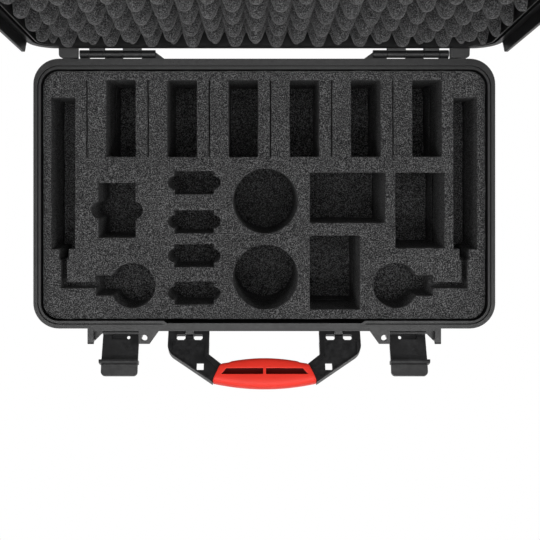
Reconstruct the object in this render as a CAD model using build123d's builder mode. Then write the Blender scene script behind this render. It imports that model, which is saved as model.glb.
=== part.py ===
from build123d import *
from math import asin, atan2, copysign, cos, hypot, radians, sin, tan
import os

# A hard carrying case that lies open, in millimetres. X runs along the case, Y from the
# handle at the front to the hinges at the back, and Z up from the floor under it.

# Overall sizes of the closed case
case_length = 522.0
case_width = 305.0
rim_radius = 29.0
base_height = 134.0
lid_height = 60.0
wall = 3.5
floor_thickness = 4.0
draft = 1.5
lid_draft = 3.0
shell_gap = 0.3
least_radius = 4.0
tub_edge_radius = 6.0
lid_edge_radius = 6.0

# Rim section, from the outer edge inwards
flange_width = 4.5
flange_depth = 7.0
rim_groove_width = 2.3
rim_groove_depth = 3.0
tongue_width = 2.3
tongue_height = 3.0
back_rim_extra = 3.2
lid_band_height = 20.0
seal_clearance = 0.4
# More room on the tongue's inner side, which the lid's lip swings past as it closes
lip_clearance = 1.0
seal_height = 2.6
seal_side_gap = 0.3
lip_width = 1.4

# Raised frame on top of the lid
panel_inset = 30.0
panel_bay_inset = 62.0
panel_rise = 2.5
panel_draft = 20.0

# The bay behind the handle, where the front wall steps outwards
bay_length = 227.0
bay_depth = 2.6
bay_slant = 4.0

# Strip that stands out along the front rim, on base and lid
strip_end_inset = 62.0
strip_width = 3.1
strip_drop = 1.0
strip_height = 5.5

# Upright ribs that guard the corners, placed by their distance from the ends and corners
rib_width = 9.0
rib_setback = 0.8
rib_foot = 6.0
rib_slope = 16.0
front_rib_insets = (33.5, 53.0)
back_rib_inset = 33.5
back_rib_centre = 40.0
end_rib_inset = 42.5
end_rib_centre = 36.0

# Hinges: knuckle widths from the outermost inwards, base and lid in turn
open_angle = 96.3
hinge_standoff = 5.8
hinge_drop = 4.7
hinge_end_inset = 51.8
knuckle_widths = (10.9, 17.2, 20.7, 21.1, 16.0)
knuckle_gap = 0.4
knuckle_radius = 4.5
knuckle_web_height = 5.0
hinge_gusset = 11.0
hinge_pin_radius = 2.0
pin_clearance = 0.05
pin_end_setback = 0.6
tail_length = 20.6
tail_offset = 2.8
tail_drop = 8.0
stop_gap = 1.2
tail_corner_radius = 4.0

# Side skirts of the lid, which wrap the base's ends
skirt_gap = 0.5
skirt_thickness = 3.2
skirt_drop = 12.0
skirt_rise = 12.0
skirt_back_setback = 27.0
skirt_front_setback = 34.0
skirt_slant = 6.0
skirt_corner_radius = 4.0

# Latches
latch_end_inset = 97.8
latch_width = 41.0
latch_open_angle = 65.0
latch_standoff = 7.0
latch_drop = 13.0
latch_barrel_radius = 4.2
latch_pin_radius = 1.6
latch_side_gap = 0.7
lever_thickness = 4.0
lever_length = 49.0
hook_thickness = 3.7
hook_reach = 10.0
hook_overhang = 1.4
hook_gap = 0.3
tab_radius = 4.5
lever_slot_length = 21.0
lever_slot_width = 5.8
lever_slot_start = 2.6
lever_slot_floor = 1.4
lever_slot_end_radius = 1.2
lever_hole_radius = 1.9
lever_hole_offset = 8.4

# Latch brackets and padlock ears
tine_width = 6.7
tine_reach = 18.0
tine_tip_radius = 2.4
bracket_gusset = 8.7
bracket_foot = 26.0
inner_boss_width = 2.8
ear_length = 12.4
ear_slant = 10.3
ear_reach = 17.4
ear_thickness = 5.0
ear_hole_inset = 6.4
ear_hole_reach = 10.7
ear_hole_radius = 3.5

# Handle
handle_rise_angle = 33.0
handle_standoff = 6.7
handle_drop = 7.0
handle_half_length = 108.8
arm_width = 46.5
arm_thickness = 6.4
arm_straight = 23.0
arm_bend_radius = 16.0
arm_inner_step = 3.0
arm_far_share = 1.3
arm_rim = 4.5
arm_recess = 2.0
arm_skirt_width = 1.8
arm_skirt_depth = 4.0
arm_skirt_start = 9.0
handle_lug_centre = 84.5
handle_lug_width = 8.2
handle_lug_gap = 0.5
handle_lug_radius = 3.8
handle_pin_radius = 1.5
handle_window_width = 10.2
handle_window_start = 2.4
handle_window_end = 8.4
handle_window_radius = 1.5
grip_hole_centre = 71.5
grip_hole_width = 7.7
grip_hole_start = 35.6
grip_hole_end = 43.6
grip_half_length = 57.5
grip_end_start = 37.0
grip_end_slant = 9.0
grip_near = 30.6
grip_far = 64.5
grip_far_end = 58.0
grip_thickness = 18.0
grip_round = 6.5
grip_groove_length = 46.0
grip_groove_width = 6.4
grip_groove_depth = 5.0
grip_groove_place = 47.6
grip_groove_split = 3.6
core_start = 40.0
core_end = 55.0

# Pressure valve in the front wall
valve_height = 32.0
valve_shank_radius = 6.0
valve_flange_radius = 10.0
valve_flange_thickness = 2.5
valve_cap_radius = 8.0
valve_cap_thickness = 2.5
valve_vents = 6
valve_vent_radius = 0.8
valve_vent_circle = 4.5
valve_vent_depth = 1.2
valve_seal_thickness = 1.2
valve_clearance = 0.1

# Foam in the base, layer by layer
foam_drop = 3.5
foam_side_gap = 1.0
top_layer = 70.0
deep_pockets = 108.6
shallow_pockets = 60.0
notch_pocket_depth = 85.0
channel_depth = 25.0
pocket_radius = 1.5

# Six battery slots in a row, each with a slit beside it
slot_count = 6
slot_row_margin = 13.45
slot_width = 33.3
slot_length = 87.0
slot_middle = 85.1
slit_offset = 22.0
slit_width = 1.2

# Tall pockets at both ends, with a cable channel to a round pocket
end_pocket_inset = 33.0
end_pocket_width = 26.8
end_pocket_length = 171.8
end_pocket_middle = 22.7
throat_width = 10.8
throat_inset = 33.9
throat_end = 75.5
channel_width = 6.8
channel_inset = 33.7
channel_turn = 104.0
plug_pocket_inset = 69.8
plug_pocket_width = 23.1
round_pocket_inset = 111.8
round_pocket_middle = -104.4
round_pocket_radius = 25.5

# Four small pockets with thumb notches
small_pocket_centre = -79.5
small_pocket_length = 44.6
small_pocket_width = 26.0
small_pocket_middles = (12.2, -31.9, -70.4, -113.0)
thumb_radius = 7.4

# Large pockets
notch_pocket_inset = 94.0
notch_pocket_middle = -19.1
notch_pocket_length = 41.8
notch_pocket_width = 62.2
notch_radius = 9.7
notch_reach = 8.5
big_round_centre = 1.5
big_round_middles = (-8.6, -94.8)
big_round_radius = 36.6
# Rectangles by left end, right end, front and back
box_pockets = (
    (51.8, 137.0, -33.3, 23.6),
    (51.8, 108.4, -131.4, -47.9),
    (148.8, 204.4, -61.8, 23.6),
)

# Egg-crate foam in the lid
bump_pitch = 46.3
bump_row_pitch = 23.15
bump_rows = 12
bump_columns = 13
bump_first_row = 135.0
bump_centre_shift = 13.65
bump_base_radius = 14.7
bump_tip_radius = 5.8
bump_tip_drop = 3.0
valley_height = 27.0

# Places that follow from the sizes above
half_length = case_length / 2
strip_length = case_length - 2 * strip_end_inset
front_rib_places = [half_length - inset for inset in front_rib_insets]
back_rib_places = [back_rib_centre, half_length - back_rib_inset]
end_rib_places = [end_rib_centre, case_width / 2 - end_rib_inset]
hinge_outer_end = half_length - hinge_end_inset
latch_centre = half_length - latch_end_inset
end_pocket_centre = half_length - end_pocket_inset
throat_centre = half_length - throat_inset
channel_centre = half_length - channel_inset
plug_pocket_end = half_length - plug_pocket_inset
round_pocket_centre = half_length - round_pocket_inset
notch_pocket_centre = notch_pocket_inset - half_length
slot_cell = slit_offset + slot_width
slot_row = 2 * (end_pocket_centre - end_pocket_width / 2 - slot_row_margin)
slot_pitch = (slot_row - slot_cell) / (slot_count - 1)
tongue_inset = flange_width + rim_groove_width
cavity_inset = tongue_inset + tongue_width
wall_inset = cavity_inset - wall
lid_cavity_inset = cavity_inset + lip_clearance + lip_width
lid_wall_inset = lid_cavity_inset - wall
front_edge = -case_width / 2
back_edge = case_width / 2
strip_edge = front_edge - strip_width
hinge_y = back_edge + hinge_standoff
hinge_z = base_height - hinge_drop
latch_y = front_edge - latch_standoff
latch_z = base_height - latch_drop
handle_y = front_edge - handle_standoff
handle_z = base_height - handle_drop
foam_top = base_height - foam_drop
mid_top = foam_top - top_layer
pad_top = foam_top - deep_pockets

os.makedirs("parts", exist_ok=True)


def turned_frame(pivot_y, pivot_z, angle):
    """The case's frame turned by this angle about a line along X through the pivot."""
    upward = Vector(0, -sin(radians(angle)), cos(radians(angle)))
    turned = Plane(origin=(0, 0, 0), x_dir=(1, 0, 0), z_dir=upward)
    pivot = Vector(0, pivot_y, pivot_z)
    return Plane(pivot - turned.from_local_coords(pivot), x_dir=(1, 0, 0), z_dir=upward)


def section(frame, x):
    """A plane across the case at this X: across it runs the frame's Y, and up it Z."""
    start = frame.from_local_coords(Vector(x, 0, 0))
    return Plane(start, x_dir=frame.y_dir, z_dir=frame.x_dir)


def front_section(frame, y):
    """A plane along the case at this Y, seen from the back: its up is the frame's Z."""
    start = frame.from_local_coords(Vector(0, y, 0))
    return Plane(start, x_dir=-frame.x_dir, z_dir=frame.y_dir)


def save(piece, name):
    """Label a finished piece and write it to its own file."""
    piece.part.label = name
    export_step(piece.part, f"parts/{name}.step")


def outline(inset, back=0.0, bay=0.0, mode=Mode.ADD):
    """The case's outline this far inside the rim, moved off the back, with the bay."""
    length = case_length - 2 * inset
    width = case_width - 2 * inset - back
    with Locations((0, -back / 2)):
        RectangleRounded(length, width, max(rim_radius - inset, least_radius), mode=mode)
    if bay > 0:
        front = front_edge + inset
        half = bay_length / 2 + cavity_inset - inset
        Polygon(
            (-half, front + wall),
            (-half, front),
            (-half + bay_slant, front - bay),
            (half - bay_slant, front - bay),
            (half, front),
            (half, front + wall),
            mode=mode,
        )


def box_between(low, high, mode=Mode.ADD):
    """A rectangle in the open sketch between two opposite corners."""
    middle = ((low[0] + high[0]) / 2, (low[1] + high[1]) / 2)
    with Locations(middle):
        Rectangle(abs(high[0] - low[0]), abs(high[1] - low[1]), mode=mode)


def knuckle_spans(owner):
    """Where the owner's hinge knuckles lie along X: 0 for the base's, 1 for the lid's."""
    spans = []
    outer = hinge_outer_end
    for count, width in enumerate(knuckle_widths):
        if count % 2 == owner:
            spans.append((outer - width + knuckle_gap / 2, outer - knuckle_gap / 2))
        outer -= width
    return spans


def mirrored(places):
    """The same places on both sides of the middle."""
    return [-place for place in places] + list(places)


def both_sides(spans):
    """The same spans on the left and on the right of the case."""
    return [(-high, -low) for low, high in spans] + list(spans)


lid_frame = turned_frame(hinge_y, hinge_z, -open_angle)
lever_frame = turned_frame(latch_y, latch_z, latch_open_angle)
grip_frame = turned_frame(handle_y, handle_z, -handle_rise_angle)
latch_side = latch_width / 2 + latch_side_gap
ear_outer_end = latch_centre - latch_side
ear_inner_end = ear_outer_end - ear_length
ear_slant_end = ear_inner_end - ear_slant
ear_hole_centre = ear_outer_end - ear_hole_inset
tine_inner = latch_centre + latch_side + bracket_gusset
tine_outer = tine_inner + tine_width


# Base shell
with BuildPart() as base_shell:
    # Tub and rim, solid at first
    with BuildSketch(Plane.XY.offset(base_height)):
        outline(wall_inset, back_rim_extra, bay_depth)
    extrude(amount=-base_height, taper=draft)
    fillet(base_shell.faces().sort_by(Axis.Z)[0].edges(), tub_edge_radius)
    with BuildSketch(Plane.XY.offset(base_height - flange_depth)):
        outline(0)
    extrude(amount=flange_depth)

    # Ribs at the corners, on the front, the back and both ends
    rib_top = base_height - flange_depth / 2
    for edge, places in ((-back_edge, front_rib_places), (back_edge, back_rib_places)):
        out = 1 if edge > 0 else -1
        for x in mirrored(places):
            with BuildSketch(section(Plane.XY, x - rib_width / 2)):
                Polygon(
                    (edge - out * (cavity_inset + wall), rib_foot),
                    (edge - out * (rib_setback + wall_inset), rib_foot),
                    (edge - out * rib_setback, rib_foot + rib_slope),
                    (edge - out * rib_setback, rib_top),
                    (edge - out * (cavity_inset + wall), rib_top),
                )
            extrude(amount=rib_width)
    for out in (-1, 1):
        edge = out * half_length
        for y in mirrored(end_rib_places):
            with BuildSketch(front_section(Plane.XY, y - rib_width / 2)):
                Polygon(
                    (-edge + out * (cavity_inset + wall), rib_foot),
                    (-edge + out * (rib_setback + wall_inset), rib_foot),
                    (-edge + out * rib_setback, rib_foot + rib_slope),
                    (-edge + out * rib_setback, rib_top),
                    (-edge + out * (cavity_inset + wall), rib_top),
                )
            extrude(amount=rib_width)

    # Hinge knuckles on the back
    for low, high in both_sides(knuckle_spans(0)):
        with BuildSketch(section(Plane.XY, low)):
            with Locations((hinge_y, hinge_z)):
                Circle(knuckle_radius)
            box_between(
                (back_edge - flange_width, hinge_z - knuckle_radius),
                (hinge_y, hinge_z - knuckle_radius + knuckle_web_height),
            )
        extrude(amount=high - low)
    gusset_start = hinge_outer_end - sum(knuckle_widths) + knuckle_gap
    for side in (-1, 1):
        with BuildSketch(Plane.XY.offset(hinge_z - knuckle_radius)):
            Polygon(
                (side * gusset_start, hinge_y + knuckle_radius / 2),
                (side * gusset_start, back_edge - flange_width),
                (side * (gusset_start - hinge_gusset), back_edge - flange_width),
                (side * (gusset_start - hinge_gusset), back_edge),
            )
        extrude(amount=knuckle_web_height)

    # Strip along the front, in front of the flange
    with BuildSketch(Plane.XY.offset(base_height - strip_drop - strip_height)):
        box_between(
            (-strip_length / 2, front_edge - strip_width),
            (strip_length / 2, front_edge + flange_width),
        )
    extrude(amount=strip_height)

    for side in (-1, 1):
        # Outer tine of the latch bracket, and the gusset that carries the lever's pin
        with BuildSketch(section(Plane.XY, min(side * tine_inner, side * tine_outer))):
            with Locations((latch_y, latch_z)):
                Circle(latch_barrel_radius + 1)
            with Locations(
                (front_edge - tine_reach + tine_tip_radius, base_height - tine_tip_radius)
            ):
                Circle(tine_tip_radius)
            Polygon(
                (front_edge + flange_width, base_height),
                (front_edge - tine_reach + tine_tip_radius, base_height),
                (front_edge - tine_reach, base_height - tine_tip_radius),
                (latch_y - latch_barrel_radius, latch_z),
                (latch_y, latch_z - latch_barrel_radius - 1),
                (front_edge + wall_inset, base_height - bracket_foot),
                (front_edge + wall_inset + wall, base_height - bracket_foot),
            )
        extrude(amount=tine_width)
        with BuildSketch(Plane.XY.offset(latch_z - latch_barrel_radius)):
            Polygon(
                (side * tine_inner, front_edge + wall_inset + wall / 2),
                (side * (latch_centre + latch_side), front_edge + wall_inset + wall / 2),
                (side * (latch_centre + latch_side), latch_y),
                (side * tine_inner, front_edge - tine_reach + tine_tip_radius),
            )
        extrude(amount=2 * latch_barrel_radius)

        # Padlock ear with its boss for the other end of the pin
        with BuildSketch(Plane.XY.offset(base_height - ear_thickness)):
            Polygon(
                (side * ear_outer_end, front_edge + flange_width),
                (side * ear_outer_end, front_edge - ear_reach),
                (side * ear_inner_end, front_edge - ear_reach),
                (side * ear_slant_end, strip_edge),
                (side * ear_slant_end, front_edge + flange_width),
            )
        extrude(amount=ear_thickness)
        boss_low = ear_outer_end - inner_boss_width
        with BuildSketch(section(Plane.XY, min(side * boss_low, side * ear_outer_end))):
            with Locations((latch_y, latch_z)):
                Circle(latch_barrel_radius + 1)
            Polygon(
                (front_edge + flange_width, base_height - ear_thickness),
                (latch_y - latch_barrel_radius - 1, base_height - ear_thickness),
                (latch_y - latch_barrel_radius - 1, latch_z),
                (latch_y, latch_z - latch_barrel_radius - 1),
                (front_edge + wall_inset + wall, base_height - bracket_foot),
            )
        extrude(amount=inner_boss_width)

        # Lug for the handle's arm
        lug_low = side * handle_lug_centre - handle_lug_width / 2
        with BuildSketch(section(Plane.XY, lug_low)):
            with Locations((handle_y, handle_z)):
                Circle(handle_lug_radius)
            box_between(
                (front_edge + flange_width, handle_z - handle_lug_radius),
                (handle_y, handle_z + handle_lug_radius),
            )
        extrude(amount=handle_lug_width)

    # Cavity, with the tongue standing round its edge and the groove outside the tongue
    with BuildSketch(Plane.XY.offset(base_height)):
        outline(cavity_inset, back_rim_extra, bay_depth)
    extrude(amount=-(base_height - floor_thickness), taper=draft, mode=Mode.SUBTRACT)
    with BuildSketch(Plane.XY.offset(base_height)):
        outline(flange_width, back_rim_extra)
        outline(tongue_inset, back_rim_extra, bay_depth, mode=Mode.SUBTRACT)
    extrude(amount=-rim_groove_depth, mode=Mode.SUBTRACT)
    with BuildSketch(Plane.XY.offset(base_height)):
        outline(tongue_inset, back_rim_extra, bay_depth)
        outline(cavity_inset, back_rim_extra, bay_depth, mode=Mode.SUBTRACT)
    extrude(amount=tongue_height)

    # Bores for the hinge, latch and handle pins, the padlock holes and the valve
    for side in (-1, 1):
        inner = hinge_outer_end - sum(knuckle_widths)
        with BuildSketch(section(Plane.XY, min(side * inner, side * hinge_outer_end))):
            with Locations((hinge_y, hinge_z)):
                Circle(hinge_pin_radius + pin_clearance)
        extrude(amount=sum(knuckle_widths), mode=Mode.SUBTRACT)
        latch_span = sorted((side * (ear_outer_end - inner_boss_width), side * tine_outer))
        with BuildSketch(section(Plane.XY, latch_span[0])):
            with Locations((latch_y, latch_z)):
                Circle(latch_pin_radius + pin_clearance)
        extrude(amount=latch_span[1] - latch_span[0], mode=Mode.SUBTRACT)
        with BuildSketch(section(Plane.XY, side * handle_lug_centre - handle_lug_width)):
            with Locations((handle_y, handle_z)):
                Circle(handle_pin_radius + pin_clearance)
        extrude(amount=2 * handle_lug_width, mode=Mode.SUBTRACT)
        with BuildSketch(Plane.XY.offset(base_height)):
            with Locations((side * ear_hole_centre, front_edge - ear_hole_reach)):
                Circle(ear_hole_radius)
        extrude(amount=-ear_thickness, mode=Mode.SUBTRACT)
    with BuildSketch(front_section(Plane.XY, front_edge)):
        with Locations((0, valve_height)):
            Circle(valve_shank_radius + valve_clearance)
    extrude(amount=2 * cavity_inset, mode=Mode.SUBTRACT)

save(base_shell, "base_shell")


# Pins, each on the base
def pin(low, high, radius, y, z):
    """A round pin along X between two ends."""
    with BuildPart() as made:
        with BuildSketch(section(Plane.XY, low)):
            with Locations((y, z)):
                Circle(radius)
        extrude(amount=high - low)
    return made


for side, name in ((-1, "left"), (1, "right")):
    inner = hinge_outer_end - sum(knuckle_widths)
    low, high = sorted((side * inner, side * hinge_outer_end))
    low += pin_end_setback
    high -= pin_end_setback
    save(pin(low, high, hinge_pin_radius, hinge_y, hinge_z), f"hinge_pin_{name}")
    low, high = sorted((side * (ear_outer_end - inner_boss_width), side * tine_outer))
    low += pin_end_setback
    high -= pin_end_setback
    save(pin(low, high, latch_pin_radius, latch_y, latch_z), f"latch_pin_{name}")
    low, high = sorted((side * (handle_half_length - arm_width), side * handle_half_length))
    low += pin_end_setback
    high -= pin_end_setback
    save(pin(low, high, handle_pin_radius, handle_y, handle_z), f"handle_pin_{name}")


# Pressure valve: a flanged body in the wall, a sealing washer and a vented cap
wall_lean = (base_height - valve_height) * tan(radians(draft))
wall_face = front_edge + wall_inset - bay_depth + wall_lean
flange_face = wall_face - valve_seal_thickness - valve_flange_radius * tan(radians(draft))

with BuildPart() as valve_body:
    with BuildSketch(front_section(Plane.XY, flange_face)):
        with Locations((0, valve_height)):
            Circle(valve_flange_radius)
    extrude(amount=-valve_flange_thickness)
    with BuildSketch(front_section(Plane.XY, flange_face)):
        with Locations((0, valve_height)):
            Circle(valve_shank_radius)
    extrude(amount=wall_face - flange_face + wall)
save(valve_body, "valve_body")

with BuildPart() as valve_seal:
    with BuildSketch(front_section(Plane.XY, flange_face)):
        with Locations((0, valve_height)):
            Circle(valve_flange_radius)
            Circle(valve_shank_radius + valve_clearance, mode=Mode.SUBTRACT)
    extrude(amount=valve_seal_thickness)
save(valve_seal, "valve_seal")

cap_start = flange_face - valve_flange_thickness
with BuildPart() as valve_cap:
    with BuildSketch(front_section(Plane.XY, cap_start)):
        with Locations((0, valve_height)):
            Circle(valve_cap_radius)
    extrude(amount=-valve_cap_thickness)
    with BuildSketch(front_section(Plane.XY, cap_start - valve_cap_thickness)):
        with Locations((0, valve_height)):
            with PolarLocations(valve_vent_circle, valve_vents):
                Circle(valve_vent_radius)
    extrude(amount=valve_vent_depth, mode=Mode.SUBTRACT)
save(valve_cap, "valve_cap")


# Foam in the base
def foam_block(top, bottom):
    """A layer of foam that fills the tub's sloping walls between two heights."""
    inset = cavity_inset + foam_side_gap + (base_height - top) * tan(radians(draft))
    with BuildSketch(Plane.XY.offset(top)) as plan:
        outline(inset, back_rim_extra)
    extrude(plan.sketch, amount=bottom - top, taper=draft)


def cut_pockets(draw, top, depth):
    """Cut the pockets that a function draws, from this height down."""
    with BuildSketch(Plane.XY.offset(top)) as plan:
        draw()
    extrude(plan.sketch, amount=-depth, mode=Mode.SUBTRACT)


def slot_places():
    """The middle of each battery slot, from left to right."""
    first = slot_cell - slot_width / 2 - slot_row / 2
    return [first + i * slot_pitch for i in range(slot_count)]


def draw_deep_pockets():
    """Battery slots, big round pockets and the plain rectangular ones."""
    for x in slot_places():
        with Locations((x, slot_middle)):
            RectangleRounded(slot_width, slot_length, pocket_radius)
    for y in big_round_middles:
        with Locations((big_round_centre, y)):
            Circle(big_round_radius)
    for left, right, front, back in box_pockets:
        with Locations(((left + right) / 2, (front + back) / 2)):
            RectangleRounded(right - left, back - front, pocket_radius)


def draw_slits():
    """The slit beside each battery slot, which leaves a soft divider."""
    for x in slot_places():
        with Locations((x - slot_width / 2 - slit_offset, slot_middle)):
            Rectangle(slit_width, slot_length)


def draw_notch_pocket():
    """The pocket with a round notch in each end."""
    with Locations((notch_pocket_centre, notch_pocket_middle)):
        RectangleRounded(notch_pocket_length, notch_pocket_width, pocket_radius)
        with Locations((-notch_reach - notch_pocket_length / 2 + notch_radius, 0)):
            Circle(notch_radius)
        with Locations((notch_reach + notch_pocket_length / 2 - notch_radius, 0)):
            Circle(notch_radius)


def draw_end_pockets():
    """The tall pockets at both ends."""
    front = end_pocket_middle - end_pocket_length / 2
    for side in (-1, 1):
        with Locations((side * end_pocket_centre, end_pocket_middle)):
            RectangleRounded(end_pocket_width, end_pocket_length, pocket_radius)
        box_between(
            (side * throat_centre - throat_width / 2, -throat_end),
            (side * throat_centre + throat_width / 2, front + pocket_radius),
        )


def draw_small_pockets():
    """Small pockets with thumb notches, and the round pockets with their plug ends."""
    for y in small_pocket_middles:
        with Locations((small_pocket_centre, y)):
            RectangleRounded(small_pocket_length, small_pocket_width, pocket_radius)
            for end in (-1, 1):
                with Locations((end * small_pocket_length / 2, 0)):
                    Circle(thumb_radius)
    for side in (-1, 1):
        with Locations((side * round_pocket_centre, round_pocket_middle)):
            Circle(round_pocket_radius)
        box_between(
            (side * round_pocket_centre, round_pocket_middle - plug_pocket_width / 2),
            (side * plug_pocket_end, round_pocket_middle + plug_pocket_width / 2),
        )


def draw_channels():
    """The cable channels between the tall pockets and the round ones."""
    for side in (-1, 1):
        near = side * channel_centre - side * channel_width / 2
        far = side * channel_centre + side * channel_width / 2
        box_between((near, -channel_turn - channel_width / 2), (far, -throat_end + 1))
        box_between(
            (side * plug_pocket_end - side, -channel_turn - channel_width / 2),
            (far, -channel_turn + channel_width / 2),
        )


with BuildPart() as foam_top_layer:
    foam_block(foam_top, mid_top)
    cut_pockets(draw_deep_pockets, foam_top, top_layer)
    cut_pockets(draw_slits, foam_top, top_layer)
    cut_pockets(draw_notch_pocket, foam_top, top_layer)
    cut_pockets(draw_end_pockets, foam_top, top_layer)
    cut_pockets(draw_small_pockets, foam_top, shallow_pockets)
    cut_pockets(draw_channels, foam_top, channel_depth)
save(foam_top_layer, "foam_top_layer")

with BuildPart() as foam_mid_layer:
    foam_block(mid_top, pad_top)
    cut_pockets(draw_deep_pockets, mid_top, deep_pockets - top_layer)
    cut_pockets(draw_notch_pocket, mid_top, notch_pocket_depth - top_layer)
save(foam_mid_layer, "foam_mid_layer")

with BuildPart() as foam_bottom_pad:
    foam_block(pad_top, floor_thickness)
save(foam_bottom_pad, "foam_bottom_pad")


# Lid shell, drawn closed in its own frame, which stands it open
lid_bottom = base_height + shell_gap
lid_top = base_height + lid_height
seal_top = base_height + tongue_height + seal_height + seal_clearance

with BuildPart() as lid_shell:
    # Dome and rim band, solid at first
    with BuildSketch(lid_frame.offset(lid_bottom)):
        outline(lid_wall_inset, back_rim_extra)
    extrude(amount=lid_height - shell_gap, taper=lid_draft)
    lid_upward = Axis((0, 0, 0), lid_frame.z_dir)
    fillet(lid_shell.faces().sort_by(lid_upward)[-1].edges(), lid_edge_radius)
    with BuildSketch(lid_frame.offset(lid_bottom)):
        outline(0)
    extrude(amount=lid_band_height - shell_gap)

    # Raised panel on top, with a shallow bay in it
    with BuildSketch(lid_frame.offset(lid_top)):
        outline(panel_inset, back_rim_extra)
    extrude(amount=panel_rise, taper=panel_draft)
    with BuildSketch(lid_frame.offset(lid_top + panel_rise)):
        outline(panel_bay_inset, back_rim_extra)
    extrude(amount=-panel_rise, mode=Mode.SUBTRACT)

    # Ribs from the band up the dome
    rib_low = base_height + lid_band_height / 2
    for edge, places in ((-back_edge, front_rib_places), (back_edge, back_rib_places)):
        out = 1 if edge > 0 else -1
        for x in mirrored(places):
            with BuildSketch(section(lid_frame, x - rib_width / 2)):
                Polygon(
                    (edge - out * (lid_cavity_inset + wall), rib_low),
                    (edge - out * rib_setback, rib_low),
                    (edge - out * rib_setback, lid_top - rib_foot - rib_slope),
                    (edge - out * (rib_setback + lid_wall_inset), lid_top - rib_foot),
                    (edge - out * (lid_cavity_inset + wall), lid_top - rib_foot),
                )
            extrude(amount=rib_width)
    for out in (-1, 1):
        edge = out * half_length
        for y in mirrored(end_rib_places):
            with BuildSketch(front_section(lid_frame, y - rib_width / 2)):
                Polygon(
                    (-edge + out * (lid_cavity_inset + wall), rib_low),
                    (-edge + out * rib_setback, rib_low),
                    (-edge + out * rib_setback, lid_top - rib_foot - rib_slope),
                    (-edge + out * (rib_setback + lid_wall_inset), lid_top - rib_foot),
                    (-edge + out * (lid_cavity_inset + wall), lid_top - rib_foot),
                )
            extrude(amount=rib_width)

    # Side skirts that hang past the rim
    skirt_inner = case_length / 2 + skirt_gap
    skirt_back = back_edge - skirt_back_setback
    skirt_front = front_edge + skirt_front_setback
    for side in (-1, 1):
        near = min(side * skirt_inner, side * (skirt_inner + skirt_thickness))
        with BuildSketch(section(lid_frame, near)) as skirt:
            Polygon(
                (skirt_front + skirt_slant, base_height - skirt_drop),
                (skirt_back - skirt_slant, base_height - skirt_drop),
                (skirt_back, base_height),
                (skirt_back, base_height + skirt_rise),
                (skirt_front, base_height + skirt_rise),
                (skirt_front, base_height),
            )
            fillet(skirt.vertices().sort_by(Axis.Y)[:2], skirt_corner_radius)
        extrude(amount=skirt_thickness)
        near = min(side * (skirt_inner - flange_width), side * skirt_inner)
        with BuildSketch(section(lid_frame, near)):
            box_between((skirt_front, lid_bottom), (skirt_back, base_height + skirt_rise))
        extrude(amount=flange_width)

    # Hinge arms, and the tail blocks that stop the open lid against the base's rim
    for low, high in both_sides(knuckle_spans(1)):
        with BuildSketch(section(lid_frame, low)):
            with Locations((hinge_y, hinge_z)):
                Circle(knuckle_radius)
            Polygon(
                (hinge_y - knuckle_radius / 2, hinge_z),
                (hinge_y + knuckle_radius, hinge_z),
                (hinge_y + knuckle_radius / 2, base_height + lid_band_height - rib_setback),
                (back_edge - flange_width, base_height + lid_band_height - rib_setback),
                (back_edge - flange_width, base_height + tongue_height),
                (back_edge + 2 * shell_gap, base_height + tongue_height),
            )
        extrude(amount=high - low)
    stop_y = back_edge + stop_gap
    stop_low = lid_frame.to_local_coords(Vector(0, stop_y, hinge_z - tail_drop))
    stop_high = lid_frame.to_local_coords(Vector(0, stop_y, hinge_z + knuckle_radius / 2))
    tail_low = hinge_outer_end + tail_offset
    for low, high in both_sides([(tail_low, tail_low + tail_length)]):
        with BuildSketch(section(lid_frame, low)):
            Polygon(
                (stop_high.Y, stop_high.Z),
                (stop_low.Y, stop_low.Z),
                (stop_low.Y, base_height),
                (hinge_y + knuckle_radius / 2, base_height + lid_band_height - rib_setback),
                (back_edge - flange_width, base_height + lid_band_height - rib_setback),
                (back_edge - flange_width, base_height + tongue_height),
                (back_edge + 2 * shell_gap, base_height + tongue_height),
            )
        extrude(amount=high - low)

    corner_x = tail_low + tail_length - tail_corner_radius
    for side in (-1, 1):
        with BuildSketch(Plane.XY.offset(hinge_z - 2 * tail_drop)):
            box_between(
                (side * corner_x, stop_y),
                (side * (corner_x + tail_corner_radius), stop_y + tail_corner_radius),
            )
            with Locations((side * corner_x, stop_y + tail_corner_radius)):
                Circle(tail_corner_radius, mode=Mode.SUBTRACT)
        extrude(amount=4 * tail_drop, mode=Mode.SUBTRACT)

    # Strip and padlock ears along the front, to match the base's
    with BuildSketch(lid_frame.offset(base_height + strip_drop)):
        box_between(
            (-strip_length / 2, front_edge - strip_width),
            (strip_length / 2, front_edge + flange_width),
        )
    extrude(amount=strip_height)
    for side in (-1, 1):
        with BuildSketch(lid_frame.offset(lid_bottom)):
            Polygon(
                (side * ear_outer_end, front_edge + flange_width),
                (side * ear_outer_end, front_edge - ear_reach),
                (side * ear_inner_end, front_edge - ear_reach),
                (side * ear_slant_end, strip_edge),
                (side * ear_slant_end, front_edge + flange_width),
            )
            with Locations((side * ear_hole_centre, front_edge - ear_hole_reach)):
                Circle(ear_hole_radius, mode=Mode.SUBTRACT)
        extrude(amount=ear_thickness)

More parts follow.
